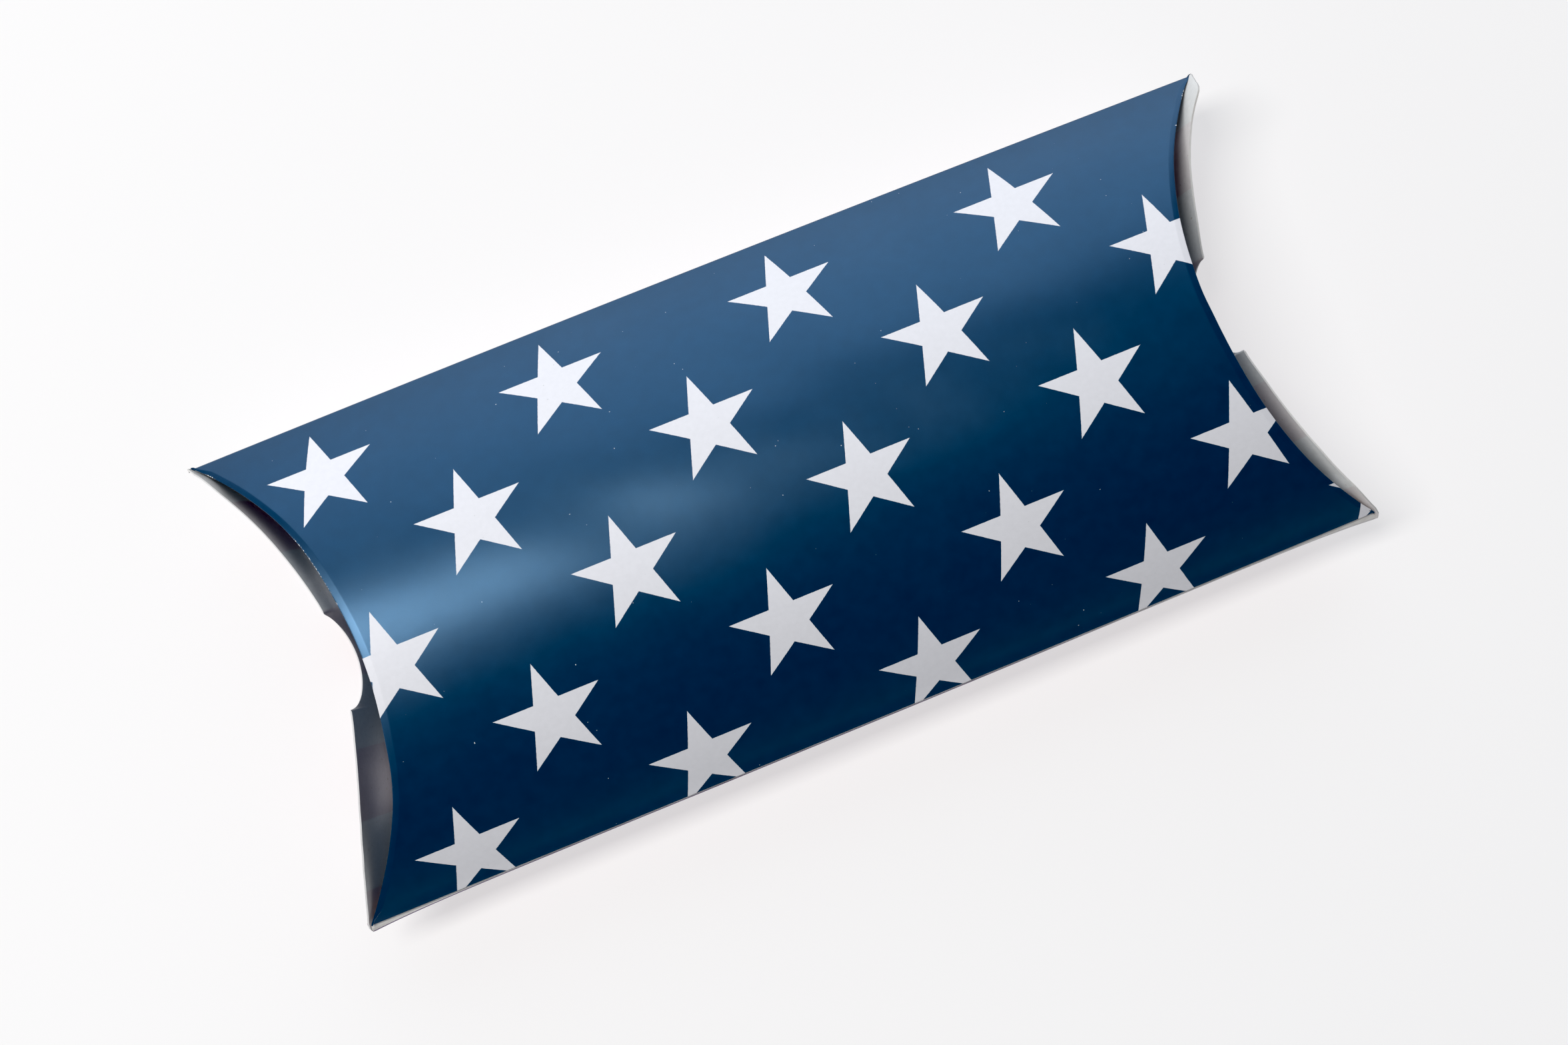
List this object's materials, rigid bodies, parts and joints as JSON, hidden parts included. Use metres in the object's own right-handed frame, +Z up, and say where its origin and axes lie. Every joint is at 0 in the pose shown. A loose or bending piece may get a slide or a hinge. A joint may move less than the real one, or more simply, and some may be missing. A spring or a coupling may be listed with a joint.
{
  "type": "pillow box",
  "caption": "Pillow-shaped card gift box with curved end flaps that fold open, a plain side fold and a glued seam, printed with stars and stripes.",
  "frame": {"origin": "on the table, under the middle of the box", "axes": "+X along the box, +Y across it towards the plain side fold, +Z up through the starred panel"},
  "size_m": [0.2286, 0.1006, 0.0402],
  "materials": {
    "blue_print": "satin printed card, navy blue with white stars",
    "striped_print": "satin printed card, red and white stripes",
    "bare_card": "matt unprinted card",
    "adhesive": "dried glue film"
  },
  "bodies": {
    "carton": {"top_panel": "blue_print", "side_fold": "blue_print", "seam_fold": "bare_card", "glue_tab": "bare_card", "glue_line": "adhesive", "bottom_panel": "striped_print", "left_bottom_crease": "striped_print", "left_top_crease": "blue_print", "right_bottom_crease": "striped_print", "right_top_crease": "blue_print"},
    "left_outer_end": {"left_closing_flap": "striped_print"},
    "left_inner_end": {"left_tuck_flap": "blue_print"},
    "right_outer_end": {"right_closing_flap": "striped_print"},
    "right_inner_end": {"right_tuck_flap": "blue_print"}
  },
  "joints": [
    {"name": "left_closing_hinge", "type": "hinge", "parent": "carton", "child": "left_outer_end", "pos_m": [-0.09355, 0, 0.00013], "axis": [0, -1, 0], "range_deg": [0, 75]},
    {"name": "left_tuck_hinge", "type": "hinge", "parent": "carton", "child": "left_inner_end", "pos_m": [-0.09355, 0, 0.03993], "axis": [0, 1, 0], "range_deg": [0, 71.3]},
    {"name": "right_closing_hinge", "type": "hinge", "parent": "carton", "child": "right_outer_end", "pos_m": [0.09355, 0, 0.00013], "axis": [0, 1, 0], "range_deg": [0, 77]},
    {"name": "right_tuck_hinge", "type": "hinge", "parent": "carton", "child": "right_inner_end", "pos_m": [0.09355, 0, 0.03993], "axis": [0, -1, 0], "range_deg": [0, 73.2]}
  ],
  "couplings": [
    {"joint": "left_tuck_hinge", "follows": "left_closing_hinge", "ratio": 0.95},
    {"joint": "right_tuck_hinge", "follows": "right_closing_hinge", "ratio": 0.95}
  ]
}
